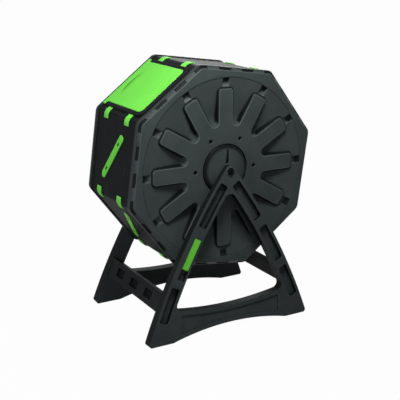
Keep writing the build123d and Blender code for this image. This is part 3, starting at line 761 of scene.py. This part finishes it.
# %% Axle plugs
AXLE_END = 172
PLUG_PROFILE = np.array([
    (0.6, 1.6), (5, 1.5), (8.2, 1.2), (9.9, 0.8), (10.8, 0.4), (10.95, 0.05),
    (9.3, 0.05), (9.3, -15), (0.6, -15.5),
])


def axle_plug(front):
    """Rows are the profile's radius and level, columns the directions round the axle"""
    turn = np.radians(np.arange(0, 360, 7.5))
    radius, level = PLUG_PROFILE.T[..., None]
    return skin(round_axle(radius, turn, AXLE_END + level, front))


both_ends("plug", axle_plug, "black_plastic", "axle_plug")

# %% [markdown]
# ## Side panels
#
# Seven plain sheets close the drum between its ends. Each is a flat strip whose long edges bend half
# way round the drum's corners. A strip could be extruded from an octagon; here its section is laid
# along a bend line, measured as on a flat sheet, which the door's frame uses too.

# %% Side panels
PANEL, PANEL_ROUND, PANEL_WALL, PANEL_EASE = 271.3, 20.3, 3.5, 0.6
FLAT_HALF = (PANEL - PANEL_ROUND) * tan(SIDE / 2)
STRIP_HALF = FLAT_HALF + PANEL_ROUND * SIDE / 2 - 0.4
STRIP_END = 127.8
BARRED_SIDES = {"left": 2, "lower_left": 3, "bottom": 4, "lower_right": 5, "right": 6, "upper_right": 7}
PLAIN_SIDES = {"top": 0, **BARRED_SIDES}


def on_side(u, across, lift, place):
    """A sheet's point: straight across the flat, then round the corner; lift moves it off the drum"""
    u, across, lift = np.broadcast_arrays(u, across, lift)
    past = np.maximum(np.abs(across) - FLAT_HALF, 0) / PANEL_ROUND
    radius = PANEL_ROUND + lift
    v = np.sign(across) * (np.minimum(np.abs(across), FLAT_HALF) + radius * np.sin(past))
    w = PANEL - PANEL_ROUND + radius * np.cos(past)
    return on_drum(v, w, u, SIDE * place)


def side_panel(place):
    """Rows along the axle, columns over the outside and back under the inside, with eased edges"""
    half = join(np.linspace(STRIP_HALF - PANEL_EASE, FLAT_HALF, 7), np.linspace(FLAT_HALF, 0, 8)[1:])
    top = join(half, -half[-2::-1])
    inside = PANEL_EASE - PANEL_WALL
    across = join(STRIP_HALF, top, -STRIP_HALF, -STRIP_HALF, -top, STRIP_HALF)
    lift = join(-PANEL_EASE, 0 * top, -PANEL_EASE, inside, 0 * top - PANEL_WALL, inside)
    middle = np.linspace(-115, 115, 12)
    u = join(-STRIP_END, PANEL_EASE - STRIP_END, middle, STRIP_END - PANEL_EASE, STRIP_END)[:, None]
    inset = join(PANEL_EASE, 0, 0 * middle, 0, PANEL_EASE)[:, None]
    return on_side(u, across, np.clip(lift, inset - PANEL_WALL, -inset), place)


for side, place in PLAIN_SIDES.items():
    make_piece(f"{side}_side_skin", [skin(side_panel(place))], "drum", "black_plastic", f"side_panel_{side}")

# %% [markdown]
# ## Door frame
#
# The eighth side has the loading opening, with raised rails along both sides and a wide one in front.
# It could be a plate with a hole and three bars on it. Here closed loops nested inside each other, from
# the panel's edge to the opening and back underneath, make it one ring: a loop is a rectangle with
# rounded corners, and each has its own height. The rails stop short of the back, where the door's
# flange lies.

# %% Door frame
DOOR_HALF, DOOR_FRONT, DOOR_BACK, DOOR_CORNER, DOOR_GAP = 82.4, 100.0, -119.4, 14, 0.8
RAIL, RAIL_HEIGHT, RAILS_BACK, RAIL_START, RAIL_CORNER = 11, 6, -103.6, 2.2, 0.3
FRONT_RAIL = 19
OPENING_HALF, OPENING_FRONT, OPENING_BACK = 73.4, 91.0, -95.4
DOOR_PLACE = 1
# Half width, front, back, front corner and back corner of loops
EDGE_LOOPS = [
    (STRIP_HALF, STRIP_END, -STRIP_END, 0.8, 0.8), (109, 126.5, -125, 4, 4),
    (106.5, 125, -121, 8, 6), (FLAT_HALF, 123.5, -115, 16, 8),
]
RAIL_OUTSIDE = (
    DOOR_HALF + DOOR_GAP + RAIL, DOOR_FRONT + DOOR_GAP + FRONT_RAIL, RAILS_BACK,
    DOOR_CORNER + RAIL, RAIL_CORNER,
)
RAIL_INSIDE = (
    DOOR_HALF + DOOR_GAP, DOOR_FRONT + DOOR_GAP, RAILS_BACK + 0.6, DOOR_CORNER + DOOR_GAP, RAIL_CORNER
)
OPENING = (OPENING_HALF, OPENING_FRONT, OPENING_BACK, DOOR_CORNER, DOOR_CORNER)
# Distance outside the rail's outline and share of its height, up its outer and down its inner side
RAIL_UP = ((1.2, 0), (0.3, 0.15), (0, 0.85), (-0.9, 1))
RAIL_DOWN = ((0.9, 1), (0, 0.85), (-0.3, 0.1), (-1.2, 0))


def arc(centre_u, centre_across, radius, first, last):
    """Quarter circle from the first to the last angle in degrees"""
    angle = np.radians(np.linspace(first, last, 7))
    return centre_u + radius * np.cos(angle), centre_across + radius * np.sin(angle)


def loop(half, front, back, corner, back_corner):
    """Rounded rectangle: a side, front, other side and back, with a station where the rails start"""
    low, high = back + back_corner, front - corner
    start = max(RAILS_BACK, low) + RAIL_START
    side = join(low + 0.05, start - 0.3, start + 0.3, np.linspace(start + 4, high - 0.05, 14))
    wide = np.linspace(half - corner, corner - half, 14)[1:-1]
    rear = np.linspace(back_corner - half, half - back_corner, 14)[1:-1]
    u, across = np.hstack([
        (side, 0 * side + half),
        arc(high, half - corner, corner, 90, 0),
        (0 * wide + front, wide),
        arc(high, corner - half, corner, 0, -90),
        (side[::-1], 0 * side - half),
        arc(low, back_corner - half, back_corner, -90, -180),
        (0 * rear + back, rear),
        arc(low, half - back_corner, back_corner, 180, 90),
    ])
    return u, across, u > start


def grow(shape, by):
    """The loop moved outwards by a distance, but for its back, which hardly moves"""
    half, front, back, corner, back_corner = shape
    return half + by, front + by, back - 0.04 * by, corner + by, back_corner


def door_frame():
    """Loops from the panel's edge over the rails to the opening and back along the inside"""
    # Loop, height of its plain part, share of the rail's height
    rows = [(shape, 0, 0) for shape in EDGE_LOOPS]
    rows += [(grow(RAIL_OUTSIDE, by), 0, share) for by, share in RAIL_UP]
    rows += [(grow(RAIL_INSIDE, by), 0, share) for by, share in RAIL_DOWN]
    rows += [(grow(OPENING, DOOR_GAP), 0, 0), (OPENING, -0.8, 0)]
    rows += [(OPENING, PANEL_EASE - PANEL_WALL, 0), (grow(OPENING, DOOR_GAP), -PANEL_WALL, 0)]
    rows += [(shape, -PANEL_WALL, 0) for shape in EDGE_LOOPS[::-1]]
    points = []
    for shape, base, share in rows:
        u, across, railed = loop(*shape)
        points.append(on_side(u, across, base + RAIL_HEIGHT * share * railed, DOOR_PLACE))
    return np.stack(points, 1)


make_piece("door_frame_skin", [skin(door_frame(), ring=True)], "drum", "black_plastic", "door_frame_panel")

# %% [markdown]
# ## Door
#
# The door is a green plate with a wider flange at its back end and a crescent finger grip near each
# end: the floor of a grip slopes down from a chord to an arc. It could be a box with two cuts. Here the
# plate is a bar whose width changes along its length, and the grips are pressed into its top by a depth
# function, so that their edges stay soft. A lip under it drops into the opening.

# %% Door
DOOR_SEAT, DOOR_TOP, DOOR_EASE = 0.6, 6.6, 1.4
FLANGE, FLANGE_RUN = 15, 0.7
FLANGE_EDGE = DOOR_BACK + FLANGE + 0.2
GRIP_CHORD, GRIP_BULGE, GRIP_DEPTH, GRIP_INSET, GRIP_SOFT = 110, 19, 3.5, 12, 1.6
GRIP_RADIUS = (GRIP_CHORD**2 / 4 + GRIP_BULGE**2) / (2 * GRIP_BULGE)
GRIPS = (
    (DOOR_FRONT - GRIP_INSET - GRIP_BULGE, 1),
    (DOOR_BACK + FLANGE + GRIP_INSET + GRIP_BULGE, -1),
)
# Painted shade at the foot of each grip's arc wall: strength, distance inside the arc and width
GRIP_SHADE, GRIP_SHADE_AT, GRIP_SHADE_WIDTH = 0.9, 0.8, 1.7
LIP_GAP, LIP_WALL, LIP_TOP, LIP_DEPTH = 1.2, 3, 0.8, 7.0


def door_plate():
    """Rows along the axle; half width is constant but for round front corners and the back flange"""
    front = np.sin(np.radians(join(np.arange(0, 88, 5.5), 88)))
    u = join(
        DOOR_BACK, DOOR_BACK + 0.5, np.arange(-117.5, -105.5, 2), FLANGE_EDGE + join(-0.7, -0.3, 0, 0.6),
        np.arange(-102, 84, 1.6), DOOR_FRONT - DOOR_CORNER * (1 - front),
    )[:, None]
    turn = np.clip((u - DOOR_FRONT + DOOR_CORNER) / DOOR_CORNER, 0, 1)
    half = DOOR_HALF - DOOR_CORNER * (1 - np.sqrt(1 - turn**2))
    half = half + (RAIL - 1) * smooth((FLANGE_EDGE - u) / FLANGE_RUN)
    side = half - DOOR_EASE
    top = np.linspace(1, -1, 121)
    bottom = top[::15]
    across = np.hstack([half + 0 * top[:3], side * top, -half + 0 * top[:3], -side * bottom])
    lift = np.full((len(u), len(top)), DOOR_TOP)
    painted_light = np.zeros_like(lift)
    for centre, way in GRIPS:
        along = (u - centre) * way
        reach = np.hypot(along + GRIP_RADIUS - GRIP_BULGE, side * top)
        slope = np.clip(along / GRIP_BULGE, 0, 1)
        lift = lift - GRIP_DEPTH * slope * soft_edge(GRIP_RADIUS - reach, GRIP_SOFT)
        # Painted shade along the grip's arc wall
        foot = np.exp(-(((reach - GRIP_RADIUS + GRIP_SHADE_AT) / GRIP_SHADE_WIDTH) ** 2))
        painted_light = painted_light - GRIP_SHADE * slope * foot
    near_end = np.clip(DOOR_EASE - np.minimum(u - DOOR_BACK, DOOR_FRONT - u), 0, DOOR_EASE)
    drop = DOOR_EASE - np.sqrt(DOOR_EASE**2 - near_end**2)
    rise = np.ones_like(u) * join(DOOR_SEAT + 0.6, DOOR_TOP - DOOR_EASE, DOOR_TOP - 0.4 * DOOR_EASE)
    under = np.full((len(u), len(bottom)), DOOR_SEAT)
    lift = np.hstack([np.minimum(np.hstack([rise, lift, rise[:, ::-1]]), DOOR_TOP - drop), under])
    painted_light = np.hstack([0 * rise, painted_light, 0 * rise, 0 * under])
    return skin(on_side(u, across, lift, DOOR_PLACE), False, painted_light)


def door_lip():
    """A thin wall that follows the opening just inside it"""
    outer, inner = (
        (OPENING_HALF - by, OPENING_FRONT - by, OPENING_BACK + by, DOOR_CORNER - ease, DOOR_CORNER - ease)
        for by, ease in ((LIP_GAP, 0), (LIP_GAP + LIP_WALL, LIP_WALL))
    )
    stack = [(outer, LIP_TOP), (outer, -LIP_DEPTH), (inner, -LIP_DEPTH - 0.4), (inner, LIP_TOP)]
    return np.stack([on_side(*loop(*shape)[:2], lift, DOOR_PLACE) for shape, lift in stack], 1)


make_piece("door_skin", [door_plate(), skin(door_lip(), ring=True)], "door", "bright_green_plastic", "door")

# %% [markdown]
# ## Corner clips
#
# Two green straps bridge each long edge of the drum and hold neighbouring panels together. A strap
# could be a bent copy of a box. Here it is a flat section carried round the corner: an arc in the
# middle and a straight tail on either side, so that it lies on the panels as they bend.

# %% Corner clips
CLIP_WIDTH, CLIP_SPACING, CLIP_WALL, CLIP_HALF, CLIP_SEAT = 23, 128, 3, 16.5, 0.2
CLIP_END, CLIP_END_SINK = [0, 0.5, 1.4], [1.2, 0.35, 0]


def clip(along, edge):
    """Rows round the corner; an angle up to half a side, then straight on; the section has eased edges"""
    start = join(CLIP_END) - CLIP_HALF
    rows = join(start[:2], np.linspace(start[2], -start[2], 21), -start[1::-1])[:, None]
    bend = PANEL_ROUND + CLIP_SEAT
    angle = np.clip(rows / bend, -SIDE / 2, SIDE / 2)
    tail = rows - angle * bend
    edge_u = join(0, 0, 0.4, 1.2) - CLIP_WIDTH / 2
    edge_lift = join(0, CLIP_WALL - 1, CLIP_WALL - 0.3, CLIP_WALL)
    u = along + join(edge_u, -5, 0, 5, -edge_u[::-1])
    lift = CLIP_SEAT + join(edge_lift, CLIP_WALL, CLIP_WALL, CLIP_WALL, edge_lift[::-1])
    sink = np.interp(CLIP_HALF - np.abs(rows), CLIP_END, CLIP_END_SINK)
    radius = PANEL_ROUND + np.minimum(lift, CLIP_SEAT + CLIP_WALL - sink)
    middle = (PANEL - PANEL_ROUND) / cos(SIDE / 2)
    v = radius * np.sin(angle) + tail * np.cos(angle)
    w = middle + radius * np.cos(angle) - tail * np.sin(angle)
    return on_drum(v, w, u, SIDE * (edge + 0.5))


for edge in range(8):
    pair = [skin(clip(along, edge)) for along in (-CLIP_SPACING / 2, CLIP_SPACING / 2)]
    make_piece(f"clips_{edge + 1}_skin", pair, "drum", "bright_green_plastic", f"corner_clips_{edge + 1}")

# %% [markdown]
# ## Mixing bars
#
# A slanted green strip with round ends shows on each barred side, and its blade inside the drum turns
# the compost. They could be boxes with bevels. Here both are bars with a length and a section that
# changes along it: the strip gets narrow at its ends, and the blade gets shallow.

# %% Mixing bars
BAR_SLANT = radians(52.7)
BAR_HALF, BAR_WIDE, BAR_PROUD, BAR_EASE = 69, 11.5, 3, 0.9
BAR_SLOT_AT, BAR_SLOT_HALF, BAR_SLOT_WIDE, BAR_SLOT_DEPTH = 48, 7, 4, 2.6
BAR_SLOT_END_SOFT, BAR_SLOT_SIDE_SOFT = 0.7, 0.8
BLADE_HALF, BLADE_DEPTH, BLADE_ROUND, BLADE_TOP, BLADE_EASE = 3, 45.5, 18, 0.4, 0.8


def slanted(along, aside, lift, place):
    """A point of a bar, turned by its slant on the side's plane"""
    u = along * cos(BAR_SLANT) - aside * sin(BAR_SLANT)
    across = along * sin(BAR_SLANT) + aside * cos(BAR_SLANT)
    return on_side(u, across, lift, place)


def bar_strip(place):
    """Half width is a half circle at the ends; the two slots are pressed into the top and filled with painted
    shade
    """
    end = BAR_HALF + BAR_WIDE * np.sin(np.radians(join(np.arange(0, 84, 7), 87)))
    half = join(np.arange(0, 40, 8), np.arange(40, 56, 0.7), 59, 64, end)
    along = join(-half[:0:-1], half)[:, None]
    wide = np.sqrt(np.maximum(BAR_WIDE**2 - np.maximum(np.abs(along) - BAR_HALF, 0) ** 2, 0.2))
    top = np.linspace(1, -1, 31)
    aside = np.hstack([wide, wide, wide * (1 - BAR_EASE / BAR_WIDE) * top, -wide, -wide])
    slot = soft_edge(BAR_SLOT_HALF - np.abs(np.abs(along) - BAR_SLOT_AT), BAR_SLOT_END_SOFT)
    slot = slot * soft_edge(BAR_SLOT_WIDE - np.abs(BAR_WIDE * top), BAR_SLOT_SIDE_SOFT)
    crown = BAR_PROUD - 0.5 * np.abs(top) ** 6
    none = np.zeros_like(along)
    shoulder = none + BAR_PROUD - 1
    lift = np.hstack([none, shoulder, crown - BAR_SLOT_DEPTH * slot, shoulder, none])
    # Painted shade fills the slots
    painted_light = np.hstack([none, none, -slot, none, none])
    return skin(slanted(along, aside, CLIP_SEAT + lift, place), False, painted_light)


def bar_blade(place):
    """Thin plate under the strip with its two lower corners rounded"""
    half = join(0, 20, 40, BAR_HALF - BLADE_ROUND * (1 - np.sin(np.radians(np.arange(0, 91, 9)))))
    along = join(-half[:0:-1], half)[:, None]
    past = np.clip(np.abs(along) - BAR_HALF + BLADE_ROUND, 0, BLADE_ROUND)
    low = -BLADE_DEPTH + BLADE_ROUND - np.sqrt(BLADE_ROUND**2 - past**2)
    high = np.full_like(low, BLADE_TOP)
    eased = BLADE_HALF - BLADE_EASE
    aside = join(BLADE_HALF, -BLADE_HALF, -BLADE_HALF, -eased, eased, BLADE_HALF)
    lift = np.hstack([high, high, low + BLADE_EASE, low, low, low + BLADE_EASE])
    return skin(slanted(along, aside, lift, place))


for side, place in BARRED_SIDES.items():
    bar = [bar_strip(place), bar_blade(place)]
    make_piece(f"{side}_bar_skin", bar, "drum", "bright_green_plastic", f"mixing_bar_{side}")

# %% [markdown]
# ## Closing line
#
# A dressed part has to keep the size of its solids, or it won't fit where the solids do. This cell only
# prints a closing line.

# %% Closing line
print("all pieces made")
